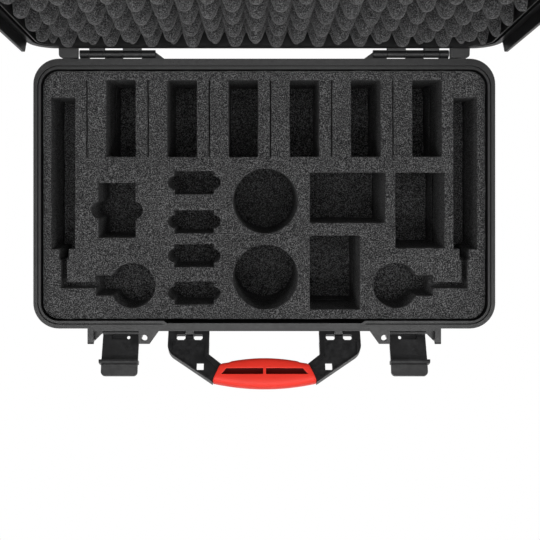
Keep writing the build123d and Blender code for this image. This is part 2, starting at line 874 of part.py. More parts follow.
    # Cavity, seal groove and the bores for the hinge pins
    with BuildSketch(lid_frame.offset(lid_bottom)):
        outline(lid_cavity_inset, back_rim_extra)
    extrude(amount=lid_height - shell_gap - wall, taper=lid_draft, mode=Mode.SUBTRACT)
    with BuildSketch(lid_frame.offset(lid_bottom)):
        outline(tongue_inset - seal_clearance, back_rim_extra, bay_depth)
        outline(cavity_inset + lip_clearance, back_rim_extra, bay_depth, mode=Mode.SUBTRACT)
    extrude(amount=seal_top - lid_bottom, mode=Mode.SUBTRACT)
    for side in (-1, 1):
        inner = hinge_outer_end - sum(knuckle_widths)
        with BuildSketch(section(lid_frame, min(side * inner, side * hinge_outer_end))):
            with Locations((hinge_y, hinge_z)):
                Circle(hinge_pin_radius + pin_clearance)
        extrude(amount=sum(knuckle_widths), mode=Mode.SUBTRACT)

save(lid_shell, "lid_shell")


# Seal at the bottom of the lid's groove
with BuildPart() as lid_seal:
    seal_outer = tongue_inset - seal_clearance + seal_side_gap
    seal_inner = cavity_inset + lip_clearance - seal_side_gap
    with BuildSketch(lid_frame.offset(seal_top - seal_height)):
        outline(seal_outer, back_rim_extra, bay_depth)
        outline(seal_inner, back_rim_extra, bay_depth, mode=Mode.SUBTRACT)
    extrude(amount=seal_height)
save(lid_seal, "lid_seal")


# Egg-crate foam: one bump, then all of them, trimmed to the lid and backed by a slab
bump_height = valley_height + bump_tip_drop
tip_middle = bump_height - bump_tip_radius
reach = hypot(bump_base_radius, tip_middle)
side_angle = atan2(tip_middle, -bump_base_radius) - asin(bump_tip_radius / reach)
side_run = (reach**2 - bump_tip_radius**2) ** 0.5
side_end = (
    bump_base_radius + side_run * cos(side_angle),
    side_run * sin(side_angle),
)

with BuildPart() as foam_bump:
    with BuildSketch(Plane.XZ):
        with BuildLine():
            Line((0, 0), (bump_base_radius, 0))
            Line((bump_base_radius, 0), side_end)
            RadiusArc(side_end, (0, bump_height), -bump_tip_radius)
            Line((0, bump_height), (0, 0))
        make_face()
    revolve(axis=Axis.Z)


def bump_places():
    """Staggered rows of bumps over the lid, from the hinge side to the front."""
    places = []
    for row in range(bump_rows):
        shift = bump_centre_shift - (row % 2) * bump_pitch / 2
        for column in range(bump_columns):
            x = shift + (column - bump_columns // 2) * bump_pitch
            if abs(x) < case_length / 2:
                places.append((x, bump_first_row - row * bump_row_pitch))
    return places


valley = base_height + valley_height
foam_ceiling = lid_top - wall
with BuildPart() as lid_foam:
    with Locations(lid_frame.offset(valley)):
        with Locations(*[Location((x, y, 0), (180, 0, 0)) for x, y in bump_places()]):
            add(foam_bump.part)
    slab_inset = lid_cavity_inset + foam_side_gap + valley_height * tan(radians(lid_draft))
    with BuildSketch(lid_frame.offset(valley)):
        outline(slab_inset, back_rim_extra)
    extrude(amount=-2 * bump_height, mode=Mode.INTERSECT)
    with BuildSketch(lid_frame.offset(valley)):
        outline(slab_inset, back_rim_extra)
    extrude(amount=foam_ceiling - valley, taper=lid_draft)
save(lid_foam, "lid_foam")


# Latch levers, drawn closed and upright, then stood open by their frame
def lever(centre):
    """One lever: barrel, plate with a blind slot and a hole, hook and rounded tab."""
    low = centre - latch_width / 2
    face = latch_y + lever_thickness / 2
    hook_low = base_height + lid_band_height + hook_gap
    tip = latch_z + lever_length
    with BuildPart() as made:
        with BuildSketch(section(lever_frame, low)):
            with Locations((latch_y, latch_z)):
                Circle(latch_barrel_radius)
            Polygon(
                (latch_y - lever_thickness / 2, latch_z),
                (face, latch_z),
                (face, hook_low + hook_thickness),
                (face - lever_thickness / 2, tip),
                (face - 3 * lever_thickness / 2, tip),
                (latch_y - lever_thickness / 2, hook_low + hook_thickness),
            )
        extrude(amount=latch_width)
        with BuildSketch(front_section(lever_frame, latch_y - lever_length)) as front:
            box_between(
                (-low, latch_z - latch_barrel_radius), (-low - latch_width, latch_z + lever_length)
            )
            fillet(front.vertices().sort_by(Axis.Y)[-2:], tab_radius)
        extrude(amount=2 * lever_length, mode=Mode.INTERSECT)
        with BuildSketch(section(lever_frame, low - hook_overhang)):
            Polygon(
                (face - lever_thickness / 2, hook_low),
                (face + hook_reach, hook_low),
                (face + hook_reach, hook_low + hook_thickness / 2),
                (face + hook_reach - hook_thickness / 2, hook_low + hook_thickness),
                (face - lever_thickness / 2, hook_low + hook_thickness),
            )
        extrude(amount=latch_width + 2 * hook_overhang)
        slot_centre = latch_z + lever_slot_start + lever_slot_width / 2
        slot_floor = latch_y - lever_thickness / 2 + lever_slot_floor
        with BuildSketch(front_section(lever_frame, slot_floor)):
            with Locations((-centre, slot_centre)):
                RectangleRounded(lever_slot_length, lever_slot_width, lever_slot_end_radius)
        extrude(amount=2 * latch_barrel_radius, mode=Mode.SUBTRACT)
        hole_x = centre - copysign(lever_hole_offset, centre)
        with BuildSketch(front_section(lever_frame, latch_y - lever_thickness)):
            with Locations((-hole_x, slot_centre)):
                Circle(lever_hole_radius)
        extrude(amount=2 * lever_thickness, mode=Mode.SUBTRACT)
        with BuildSketch(section(lever_frame, low)):
            with Locations((latch_y, latch_z)):
                Circle(latch_pin_radius + pin_clearance)
        extrude(amount=latch_width, mode=Mode.SUBTRACT)
    return made


save(lever(-latch_centre), "latch_lever_left")
save(lever(latch_centre), "latch_lever_right")


# Handle, drawn level in front of the case, then raised by its frame
def grip_outline():
    """The grip seen from above: both long sides bowed, and the ends slanted."""
    near_end = (grip_half_length - grip_end_slant, handle_y - grip_end_start)
    far_end = (grip_half_length, handle_y - grip_far_end)
    with BuildLine() as edge:
        ThreePointArc((-near_end[0], near_end[1]), (0, handle_y - grip_near), near_end)
        Line(near_end, far_end)
        ThreePointArc(far_end, (0, handle_y - grip_far), (-far_end[0], far_end[1]))
        Line((-far_end[0], far_end[1]), (-near_end[0], near_end[1]))
    make_face(edge.edges())


def core_outline():
    """The bar inside the grip, which joins the two arms."""
    half = grip_half_length
    box_between((-half, handle_y - core_end), (half, handle_y - core_start))


def arm_points(inward):
    """An arm's corners, drawn this far inside its edges."""
    outer = handle_half_length - inward
    inner = handle_half_length - arm_width + inward
    root = handle_y - inward
    return [
        (outer, root),
        (outer, handle_y - arm_straight - inward / 2),
        (grip_half_length + inward, handle_y - grip_far_end + inward * arm_far_share),
        (grip_half_length - grip_end_slant + inward, handle_y - grip_end_start - inward),
        (inner, handle_y - arm_straight - arm_inner_step - inward / 2),
        (inner, root),
    ]


with BuildPart() as handle_frame:
    # Both arms as flat plates, with a rounded outer bend and a recessed panel
    for side in (-1, 1):
        with BuildSketch(grip_frame.offset(handle_z - arm_thickness / 2)) as arm_plan:
            Polygon(*[(side * x, y) for x, y in arm_points(0)])
            bend = arm_plan.vertices().sort_by(lambda v: -side * v.X)[:2]
            fillet(bend.sort_by(Axis.Y)[0], arm_bend_radius)
        extrude(amount=arm_thickness)
        # A skirt under the arm's edges, which starts clear of the case
        with BuildSketch(grip_frame.offset(handle_z - arm_thickness / 2)) as skirt_plan:
            Polygon(*[(side * x, y) for x, y in arm_points(0)])
            bend = skirt_plan.vertices().sort_by(lambda v: -side * v.X)[:2]
            fillet(bend.sort_by(Axis.Y)[0], arm_bend_radius)
            box_between(
                (0, handle_y - arm_skirt_start),
                (side * 2 * handle_half_length, handle_y + arm_skirt_start),
                mode=Mode.SUBTRACT,
            )
        extrude(amount=-arm_skirt_depth)
        with BuildSketch(grip_frame.offset(handle_z - arm_thickness / 2)) as hollow_plan:
            Polygon(*[(side * x, y) for x, y in arm_points(arm_skirt_width)])
            bend = hollow_plan.vertices().sort_by(lambda v: -side * v.X)[:2]
            fillet(bend.sort_by(Axis.Y)[0], arm_bend_radius - arm_skirt_width)
        extrude(amount=-arm_skirt_depth, mode=Mode.SUBTRACT)
        barrel_low = min(side * handle_half_length, side * (handle_half_length - arm_width))
        with BuildSketch(section(grip_frame, barrel_low)):
            with Locations((handle_y, handle_z)):
                Circle(arm_thickness / 2)
        extrude(amount=arm_width)
    with BuildSketch(grip_frame.offset(handle_z - arm_thickness / 2)):
        core_outline()
    extrude(amount=arm_thickness)

    for side in (-1, 1):
        # Recessed panels on both faces
        for face, cut in ((arm_thickness / 2, -arm_recess), (-arm_thickness / 2, arm_recess)):
            with BuildSketch(grip_frame.offset(handle_z + face)):
                inner_points = arm_points(arm_rim)
                inner_points[0] = (inner_points[0][0], handle_y - handle_window_end)
                inner_points[-1] = (inner_points[-1][0], handle_y - handle_window_end)
                Polygon(*[(side * x, y) for x, y in inner_points])
            extrude(amount=cut, mode=Mode.SUBTRACT)
        # Windows beside the lug, the gap for the lug, and the square hole by the grip
        with BuildSketch(grip_frame.offset(handle_z - arm_thickness)):
            lug_gap = handle_lug_width / 2 + handle_lug_gap
            for end in (-1, 1):
                near = side * handle_lug_centre + end * lug_gap
                window_y = handle_y - (handle_window_start + handle_window_end) / 2
                with Locations((near + end * handle_window_width / 2, window_y)):
                    RectangleRounded(
                        handle_window_width,
                        handle_window_end - handle_window_start,
                        handle_window_radius,
                    )
            box_between(
                (side * handle_lug_centre - lug_gap, handle_y - handle_lug_radius - handle_lug_gap),
                (side * handle_lug_centre + lug_gap, handle_y + arm_thickness),
            )
            box_between(
                (side * grip_hole_centre - grip_hole_width / 2, handle_y - grip_hole_end),
                (side * grip_hole_centre + grip_hole_width / 2, handle_y - grip_hole_start),
            )
        extrude(amount=2 * arm_thickness, mode=Mode.SUBTRACT)
        bore_low = min(side * handle_half_length, side * (handle_half_length - arm_width))
        with BuildSketch(section(grip_frame, bore_low)):
            with Locations((handle_y, handle_z)):
                Circle(handle_pin_radius + pin_clearance)
        extrude(amount=arm_width, mode=Mode.SUBTRACT)
save(handle_frame, "handle_frame")

with BuildPart() as handle_grip:
    with BuildSketch(grip_frame.offset(handle_z - grip_thickness / 2)):
        grip_outline()
    extrude(amount=grip_thickness)
    along = grip_frame.x_dir
    long_edges = handle_grip.edges().filter_by(lambda e: abs(e.tangent_at(0.5).dot(along)) > 0.9)
    fillet(long_edges, grip_round)
    with BuildSketch(grip_frame.offset(handle_z + grip_thickness / 2)):
        for side in (-1, 1):
            middle = side * (grip_groove_split + grip_groove_length) / 2
            with Locations((middle, handle_y - grip_groove_place)):
                Rectangle(grip_groove_length, grip_groove_width)
    extrude(amount=-grip_groove_depth, mode=Mode.SUBTRACT)
    with BuildSketch(grip_frame.offset(handle_z - arm_thickness / 2)):
        core_outline()
    extrude(amount=arm_thickness, mode=Mode.SUBTRACT)
    with BuildSketch(grip_frame.offset(handle_z - arm_thickness / 2)):
        for side in (-1, 1):
            Polygon(*[(side * x, y) for x, y in arm_points(0)])
    extrude(amount=arm_thickness, mode=Mode.SUBTRACT)
save(handle_grip, "handle_grip")
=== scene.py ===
# %% [markdown]
# # An open battery case
#
# The CAD model gives the place and size of every piece. This script dresses it: it builds the cut
# foam, the egg-crate foam, the grip and the moulded parts as detailed meshes, gives each surface a
# material made of nodes, and sets up a studio with a camera that looks straight down into the case.

import math
import random

import bmesh
import bpy
from mathutils import Matrix, Vector, noise
from mathutils.geometry import delaunay_2d_cdt


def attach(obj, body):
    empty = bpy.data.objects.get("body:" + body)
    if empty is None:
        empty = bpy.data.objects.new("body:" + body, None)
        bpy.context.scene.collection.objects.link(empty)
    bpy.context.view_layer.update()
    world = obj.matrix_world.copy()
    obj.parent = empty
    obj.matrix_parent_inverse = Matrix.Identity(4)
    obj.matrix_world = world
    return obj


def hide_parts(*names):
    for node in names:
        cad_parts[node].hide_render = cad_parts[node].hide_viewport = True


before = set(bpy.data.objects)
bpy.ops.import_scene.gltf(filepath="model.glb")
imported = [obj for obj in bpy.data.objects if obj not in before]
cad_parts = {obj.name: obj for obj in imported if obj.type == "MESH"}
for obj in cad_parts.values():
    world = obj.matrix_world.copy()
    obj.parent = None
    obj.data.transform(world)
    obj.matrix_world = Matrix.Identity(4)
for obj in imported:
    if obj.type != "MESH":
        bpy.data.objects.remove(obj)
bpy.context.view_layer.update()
random.seed(7)
noise.seed_set(7)

# %% [markdown]
# ## Sizes
#
# They are the CAD model's own, in millimetres. `MM` turns them into metres as points are made.

# %%
MM = 0.001
CASE_LENGTH, CASE_WIDTH, RIM_RADIUS = 522.0, 305.0, 29.0
BASE_HEIGHT, FLOOR = 134.0, 4.0
CAVITY_INSET, BACK_EXTRA, DRAFT = 9.1, 3.2, 1.5
FOAM_TOP = BASE_HEIGHT - 3.5
MID_TOP = FOAM_TOP - 70.0
PAD_TOP = FOAM_TOP - 108.6
HINGE = Vector((0.0, CASE_WIDTH / 2 + 5.8, BASE_HEIGHT - 4.7)) * MM
HANDLE = Vector((0.0, -CASE_WIDTH / 2 - 6.7, BASE_HEIGHT - 7.0)) * MM


def turned(pivot, degrees):
    """A turn about a line along X through a point."""
    turn = Matrix.Rotation(math.radians(degrees), 4, "X")
    return Matrix.Translation(pivot) @ turn @ Matrix.Translation(-pivot)


# The lid and the handle are drawn closed and level, and these turns stand them open
LID_ANGLE, HANDLE_ANGLE = -96.3, -33.0
LID_TURN = turned(HINGE, LID_ANGLE)
HANDLE_TURN = turned(HANDLE, HANDLE_ANGLE)

# %% [markdown]
# ## Node helpers
#
# Small wrappers keep the materials readable: each adds one node and links its inputs.


# %%
class Nodes:
    """Adds nodes to a tree, and links sockets or sets their values by name."""

    def __init__(self, tree):
        self.tree = tree

    def add(self, kind, settings=None, **inputs):
        node = self.tree.nodes.new(kind)
        for key, value in (settings or {}).items():
            setattr(node, key, value)
        for key, value in inputs.items():
            self.put(node, key.replace("_", " "), value)
        return node

    def put(self, node, name, value):
        """Link or set the input of this name, or the one at this place."""
        socket = node.inputs[int(name)] if name.isdigit() else node.inputs[name]
        if isinstance(value, bpy.types.NodeSocket):
            self.tree.links.new(value, socket)
        else:
            socket.default_value = value

    def math(self, operation, first, second=0.0, clamp=False):
        node = self.add("ShaderNodeMath", {"operation": operation, "use_clamp": clamp})
        self.put(node, "0", first)
        self.put(node, "1", second)
        return node.outputs[0]

    def ramp(self, factor, stops):
        """A colour ramp with (place, colour) stops."""
        node = self.add("ShaderNodeValToRGB", Fac=factor)
        ramp = node.color_ramp
        while len(ramp.elements) < len(stops):
            ramp.elements.new(0.5)
        for element, (place, colour) in zip(ramp.elements, stops):
            element.position = place
            element.color = (*colour, 1.0) if len(colour) == 3 else colour
        return node.outputs["Color"]

    def noise(self, vector, scale, detail=2.0, roughness=0.5):
        node = self.add("ShaderNodeTexNoise", Vector=vector, Scale=scale)
        self.put(node, "Detail", detail)
        self.put(node, "Roughness", roughness)
        return node.outputs["Fac"]

    def mix(self, factor, first, second, blend="MIX"):
        node = self.add("ShaderNodeMix", {"data_type": "RGBA", "blend_type": blend})
        self.put(node, "0", factor)
        self.put(node, "6", first)
        self.put(node, "7", second)
        return node.outputs[2]


def new_material(name):
    """A material with its node helper, shader and object coordinates."""
    material = bpy.data.materials.new(name)
    material.use_nodes = True
    tree = material.node_tree
    tree.nodes.clear()
    nodes = Nodes(tree)
    out = nodes.add("ShaderNodeOutputMaterial")
    shader = nodes.add("ShaderNodeBsdfPrincipled")
    tree.links.new(shader.outputs[0], out.inputs[0])
    place = nodes.add("ShaderNodeTexCoord").outputs["Object"]
    return material, nodes, shader, place


# %% [markdown]
# ## Shared effects
#
# Two node groups are used by several materials. The first gives worn, lighter edges from the
# pointiness of the mesh. The second gives the fine spark texture of moulded plastic.


# %%
def group(name, inputs, outputs):
    """An empty node group with float inputs and outputs."""
    tree = bpy.data.node_groups.new(name, "ShaderNodeTree")
    for label, kind in inputs:
        tree.interface.new_socket(label, in_out="INPUT", socket_type=kind)
    for label, kind in outputs:
        tree.interface.new_socket(label, in_out="OUTPUT", socket_type=kind)
    nodes = Nodes(tree)
    return tree, nodes, nodes.add("NodeGroupInput"), nodes.add("NodeGroupOutput")


def make_grain_group():
    """Moulded grain: a bump height and a slow unevenness of gloss."""
    tree, nodes, start, end = group(
        "moulded_grain",
        [("Vector", "NodeSocketVector"), ("Scale", "NodeSocketFloat")],
        [("Height", "NodeSocketFloat"), ("Patches", "NodeSocketFloat")],
    )
    vector, scale = start.outputs["Vector"], start.outputs["Scale"]
    cells = nodes.add("ShaderNodeTexVoronoi", Vector=vector, Scale=scale).outputs["Distance"]
    fine = nodes.noise(vector, nodes.math("MULTIPLY", scale, 1.7), 3.0, 0.6)
    slow = nodes.noise(vector, nodes.math("MULTIPLY", scale, 0.02), 3.0, 0.55)
    fine = nodes.math("MULTIPLY", fine, 0.5)
    height = nodes.math("ADD", nodes.math("MULTIPLY", cells, 0.5), fine)
    nodes.put(end, "Height", height)
    nodes.put(end, "Patches", slow)
    return tree


def make_edge_group():
    """Wear: where the mesh is convex, broken up by noise."""
    tree, nodes, start, end = group(
        "edge_wear",
        [("Vector", "NodeSocketVector"), ("Amount", "NodeSocketFloat")],
        [("Mask", "NodeSocketFloat")],
    )
    point = nodes.add("ShaderNodeNewGeometry").outputs["Pointiness"]
    edge = nodes.add("ShaderNodeMapRange", Value=point)
    nodes.put(edge, "From Min", 0.505)
    nodes.put(edge, "From Max", 0.58)
    broken = nodes.noise(start.outputs["Vector"], 180.0, 4.0, 0.7)
    rough = nodes.add("ShaderNodeMapRange", Value=broken)
    nodes.put(rough, "From Min", 0.35)
    nodes.put(rough, "From Max", 0.65)
    mask = nodes.math("MULTIPLY", edge.outputs["Result"], rough.outputs["Result"])
    nodes.put(end, "Mask", nodes.math("MULTIPLY", mask, start.outputs["Amount"], True))
    return tree


GRAIN = make_grain_group()
EDGE = make_edge_group()


def use_group(nodes, tree, **inputs):
    """An instance of a node group."""
    node = nodes.add("ShaderNodeGroup", {"node_tree": tree})
    for key, value in inputs.items():
        nodes.put(node, key, value)
    return node


# %% [markdown]
# ## Materials
#
# The moulded plastic is nearly black, with a fine grain that breaks its highlights. One function
# makes the shell, the levers and the handle frame, which differ in colour, gloss and grain.


# %%
def plastic(name, colour, light, roughness, grain_scale, grain_depth, wear):
    material, nodes, shader, place = new_material(name)
    grain = use_group(nodes, GRAIN, Vector=place, Scale=grain_scale)
    edge = use_group(nodes, EDGE, Vector=place, Amount=wear)
    # Faint dust and handling marks lighten the colour in slow patches
    base = nodes.ramp(grain.outputs["Patches"], [(0.35, colour), (0.7, light)])
    worn = tuple(min(1.0, channel * 3.0 + 0.02) for channel in light)
    nodes.put(shader, "Base Color", nodes.mix(edge.outputs["Mask"], base, (*worn, 1.0)))
    # Rubbed edges are a little smoother, and the patches change the gloss
    gloss = nodes.add("ShaderNodeMapRange", Value=grain.outputs["Patches"])
    nodes.put(gloss, "To Min", roughness - 0.05)
    nodes.put(gloss, "To Max", roughness + 0.09)
    rubbed = nodes.math("MULTIPLY", edge.outputs["Mask"], -0.08)
    nodes.put(shader, "Roughness", nodes.math("ADD", gloss.outputs["Result"], rubbed, True))
    bump = nodes.add("ShaderNodeBump", Strength=0.35, Distance=grain_depth)
    nodes.put(bump, "Height", grain.outputs["Height"])
    nodes.put(shader, "Normal", bump.outputs[0])
    nodes.put(shader, "Specular IOR Level", 0.42)
    nodes.put(shader, "IOR", 1.49)
    return material


# %% [markdown]
# Open-cell foam is matt, with tiny bright struts over dark cells. Two sizes of noise give the
# speckle, and a slow one gives the faint patches that a hand leaves on it. Cut walls are painted
# smoother and darker than the sawn top as painted shade, told apart by a mask from the surface's
# own direction. The cells and the struts also raise and sink the surface.


# %%
def foam(name, dark, mid, bright, painted_wall_shade, sheen):
    material, nodes, shader, place = new_material(name)
    cells = nodes.add("ShaderNodeTexVoronoi", Vector=place, Scale=620.0).outputs["Distance"]
    speck = nodes.noise(place, 760.0, 2.0, 0.75)
    clump = nodes.noise(place, 210.0, 3.0, 0.65)
    slow = nodes.noise(place, 9.0, 3.0, 0.5)
    clump = nodes.math("MULTIPLY", clump, 0.15)
    mixed = nodes.math("ADD", nodes.math("MULTIPLY", speck, 0.85), clump)
    colour = nodes.ramp(mixed, [(0.39, dark), (0.5, mid), (0.63, bright)])
    patch = nodes.ramp(slow, [(0.3, (0.88, 0.88, 0.88)), (0.7, (1.08, 1.08, 1.08))])
    colour = nodes.mix(1.0, colour, patch, "MULTIPLY")
    # Walls, where the local normal is level, are darkened: painted shade
    normal = nodes.add("ShaderNodeNewGeometry").outputs["Normal"]
    up = nodes.add("ShaderNodeSeparateXYZ", Vector=normal).outputs["Z"]
    wall = nodes.math("SUBTRACT", 1.0, nodes.math("ABSOLUTE", up), True)
    shade = nodes.math("MULTIPLY", wall, painted_wall_shade)
    colour = nodes.mix(shade, colour, (*[channel * 1.2 for channel in dark], 1.0))
    nodes.put(shader, "Base Color", colour)
    nodes.put(shader, "Roughness", 0.97)
    nodes.put(shader, "Specular IOR Level", 0.18)
    nodes.put(shader, "Sheen Weight", sheen)
    nodes.put(shader, "Sheen Roughness", 0.6)
    height = nodes.math("ADD", nodes.math("MULTIPLY", cells, -0.5), speck)
    bump = nodes.add("ShaderNodeBump", Strength=0.8, Distance=0.0007)
    nodes.put(bump, "Height", height)
    nodes.put(shader, "Normal", bump.outputs[0])
    return material


# %% [markdown]
# The grip is soft moulded rubber in a warm red, a little uneven in slow patches. Its hollows are
# painted a deeper red as painted shade, and its grooves take a darker material of painted shade.
# The seal is a plain dark rubber with a dusty bloom.


# %%
def grip_rubber(name, deep, colour, shine):
    material, nodes, shader, place = new_material(name)
    grain = use_group(nodes, GRAIN, Vector=place, Scale=900.0)
    point = nodes.add("ShaderNodeNewGeometry").outputs["Pointiness"]
    # Hollows, where pointiness is low, take the deep colour: painted shade
    painted_hollow_shade = nodes.ramp(point, [(0.42, deep), (0.5, colour)])
    tint = nodes.ramp(
        grain.outputs["Patches"], [(0.3, (0.93, 0.9, 0.9)), (0.7, (1.0, 1.0, 1.0))]
    )
    nodes.put(shader, "Base Color", nodes.mix(1.0, painted_hollow_shade, tint, "MULTIPLY"))
    gloss = nodes.add("ShaderNodeMapRange", Value=grain.outputs["Patches"])
    nodes.put(gloss, "To Min", 0.42)
    nodes.put(gloss, "To Max", 0.56)
    nodes.put(shader, "Roughness", gloss.outputs["Result"])
    nodes.put(shader, "Specular IOR Level", shine)
    nodes.put(shader, "Subsurface Weight", 0.04)
    nodes.put(shader, "Subsurface Scale", 0.002)
    bump = nodes.add("ShaderNodeBump", Strength=0.25, Distance=0.0002)
    nodes.put(bump, "Height", grain.outputs["Height"])
    nodes.put(shader, "Normal", bump.outputs[0])
    return material


def seal_rubber():
    material, nodes, shader, place = new_material("seal_rubber")
    bloom = nodes.noise(place, 60.0, 4.0, 0.6)
    fine = nodes.noise(place, 1400.0, 2.0, 0.6)
    colour = nodes.ramp(bloom, [(0.35, (0.012, 0.012, 0.012)), (0.75, (0.03, 0.03, 0.031))])
    nodes.put(shader, "Base Color", colour)
    nodes.put(shader, "Roughness", 0.68)
    bump = nodes.add("ShaderNodeBump", Strength=0.3, Distance=0.0001, Height=fine)
    nodes.put(shader, "Normal", bump.outputs[0])
    return material


# %% [markdown]
# The pins are drawn steel: fine lines run along the rod, and light wear dulls it in places.


# %%
def drawn_steel():
    material, nodes, shader, place = new_material("drawn_steel")
    stretched = nodes.add("ShaderNodeMapping", Vector=place)
    nodes.put(stretched, "Scale", (8.0, 900.0, 900.0))
    lines = nodes.noise(stretched.outputs[0], 1.0, 3.0, 0.6)
    dull = nodes.noise(place, 220.0, 3.0, 0.6)
    colour = nodes.ramp(lines, [(0.3, (0.42, 0.42, 0.43)), (0.7, (0.62, 0.62, 0.63))])
    nodes.put(shader, "Base Color", colour)
    nodes.put(shader, "Metallic", 1.0)
    gloss = nodes.add("ShaderNodeMapRange", Value=dull)
    nodes.put(gloss, "To Min", 0.22)
    nodes.put(gloss, "To Max", 0.42)
    nodes.put(shader, "Roughness", gloss.outputs["Result"])
    bump = nodes.add("ShaderNodeBump", Strength=0.2, Distance=0.00005, Height=lines)
    nodes.put(shader, "Normal", bump.outputs[0])
    return material


SHELL = plastic(
    "shell_plastic",
    (0.004, 0.004, 0.0043),
    (0.008, 0.008, 0.0083),
    roughness=0.30,
    grain_scale=1500.0,
    grain_depth=0.0001,
    wear=0.35,
)
FITTING = plastic(
    "fitting_plastic",
    (0.008, 0.008, 0.0085),
    (0.014, 0.014, 0.0145),
    roughness=0.34,
    grain_scale=1200.0,
    grain_depth=0.0001,
    wear=0.35,
)
# The cut foam's walls take a quarter share of painted shade
FOAM = foam(
    "charcoal_foam",
    (0.005, 0.005, 0.0055),
    (0.036, 0.036, 0.0365),
    (0.175, 0.175, 0.177),
    painted_wall_shade=0.25,
    sheen=0.02,
)
LID_FOAM = foam(
    "egg_crate_foam",
    (0.007, 0.007, 0.0075),
    (0.044, 0.044, 0.045),
    (0.165, 0.165, 0.168),
    painted_wall_shade=0.0,
    sheen=0.2,
)
GRIP = grip_rubber("grip_rubber", (0.38, 0.009, 0.006), (0.98, 0.042, 0.024), 0.4)
# The grooves' material is darker all over: painted shade in the deep grooves
GROOVE_PAINTED_SHADE = grip_rubber("groove_painted_shade", (0.012, 0.001, 0.001), (0.085, 0.004, 0.003), 0.05)
SEAL = seal_rubber()
STEEL = drawn_steel()

# %% [markdown]
# ## Mesh helpers
#
# Each piece is made in a bmesh in metres and then handed to `finish_piece`, which makes the object,
# puts it on its CAD body and hides the CAD node that it stands for.


# %%
def finish_piece(name, bm, body, material, node=None, smooth=True, turn=None):
    if turn is not None:
        bm.transform(turn)
    bmesh.ops.recalc_face_normals(bm, faces=bm.faces)
    mesh = bpy.data.meshes.new(name)
    bm.to_mesh(mesh)
    bm.free()
    mesh.polygons.foreach_set("use_smooth", [smooth] * len(mesh.polygons))
    piece = bpy.data.objects.new(name, mesh)
    bpy.context.scene.collection.objects.link(piece)
    mesh.materials.append(material)
    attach(piece, body)
    if node:
        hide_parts(node)
    return piece


def dressed(node, body, material, width, segments=2, angle=32.0):
    """A merged copy of a CAD node, its flats joined and its edges rounded by a bevel."""
    bm = bmesh.new()
    bm.from_mesh(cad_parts[node].data)
    bmesh.ops.remove_doubles(bm, verts=bm.verts, dist=0.00001)
    bmesh.ops.dissolve_limit(
        bm,
        angle_limit=math.radians(0.5),
        verts=bm.verts,
        edges=bm.edges,
        use_dissolve_boundaries=False,
    )
    piece = finish_piece(node + "_moulded", bm, body, material, node)
    bevel = piece.modifiers.new("rounded_edges", "BEVEL")
    bevel.limit_method = "ANGLE"
    bevel.angle_limit = math.radians(angle)
    bevel.width = width * MM
    bevel.segments = segments
    bevel.use_clamp_overlap = True
    bevel.harden_normals = False
    weighted = piece.modifiers.new("even_shading", "WEIGHTED_NORMAL")
    weighted.keep_sharp = True
    weighted.weight = 60
    return piece


def rounded_outline(length, width, radius, centre=(0.0, 0.0), step=3.0):
    """Points of a rounded rectangle, counter-clockwise, evenly spaced."""
    corners = []
    for sx, sy, start in ((1, 1, 0), (-1, 1, 90), (-1, -1, 180), (1, -1, 270)):
        cx = centre[0] + sx * (length / 2 - radius)
        cy = centre[1] + sy * (width / 2 - radius)
        count = max(2, round(radius * math.pi / 2 / step) + 1)
        for i in range(count + 1):
            a = math.radians(start + 90 * i / count)
            corners.append((cx + radius * math.cos(a), cy + radius * math.sin(a)))
    return spread(corners, step)


def spread(points, step):
    """A closed line's points with more added, so that none are further apart than a step."""
    out = []
    for (x0, y0), (x1, y1) in zip(points, points[1:] + points[:1]):
        gap = math.hypot(x1 - x0, y1 - y0)
        count = max(1, math.ceil(gap / step))
        for i in range(count):
            out.append((x0 + (x1 - x0) * i / count, y0 + (y1 - y0) * i / count))
    return [p for i, p in enumerate(out) if math.dist(p, out[i - 1]) > 0.05]


def arc(centre, radius, start, end, step=2.0):
    """Points along an arc, in degrees."""
    count = max(2, math.ceil(abs(math.radians(end - start)) * radius / step))
    return [
        (
            centre[0] + radius * math.cos(math.radians(start + (end - start) * i / count)),
            centre[1] + radius * math.sin(math.radians(start + (end - start) * i / count)),
        )
        for i in range(count + 1)
    ]


def grown(points, amount):
    """A counter-clockwise closed line moved outwards, with mitred corners."""
    out = []
    for i, (x, y) in enumerate(points):
        ax, ay = points[i - 1]
        bx, by = points[(i + 1) % len(points)]
        n1 = Vector((y - ay, ax - x)).normalized()
        n2 = Vector((by - y, x - bx)).normalized()
        middle = n1 + n2
        share = middle.dot(n1)
        if share < 0.3:
            share, middle = 1.0, n1
        move = middle * (amount / share)
        out.append((x + move.x, y + move.y))
    return out


# %% [markdown]
# ## Pockets in the base's foam
#
# Each pocket is a closed line with a depth. The first list is cut right through the top layer, the
# second has its own floor in it. The tall end pocket, its throat, the cable channel, the plug
# pocket and the round pocket run into each other, so they are one line on top with three depths.

# %%
# The slots stand at the right end of equal cells
ROW_START, CELL_LENGTH, SLOT_PITCH = -201.15, 55.3, 69.42
SLOT_Y, SLOT_WIDTH, SLOT_LENGTH = 85.1, 33.3, 87.0
SLOT_X = [ROW_START + CELL_LENGTH - SLOT_WIDTH / 2 + SLOT_PITCH * i for i in range(6)]
SLOT_FRONT, SLOT_BACK = SLOT_Y - SLOT_LENGTH / 2, SLOT_Y + SLOT_LENGTH / 2
SLIT_OFFSET, SLIT_HALF = 38.65, 0.6


def notched(centre, length, width, notch, reach):
    """A rectangle with a round notch in the middle of each short end."""
    cx, cy = centre
    half, tall = length / 2, width / 2
    nx = half + reach - notch
    opening = math.sqrt(max(notch**2 - (half - nx) ** 2, 0.0))
    angle = math.degrees(math.atan2(opening, half - nx))
    right = arc((cx + nx, cy), notch, -angle, angle)
    left = arc((cx - nx, cy), notch, 180 - angle, 180 + angle)
    line = [(cx + half, cy - tall)] + right + [(cx + half, cy + tall)]
    line += [(cx - half, cy + tall)] + left + [(cx - half, cy - tall)]
    return spread(line, 2.5)


def circle(centre, radius):
    return arc(centre, radius, 0, 360)[:-1]


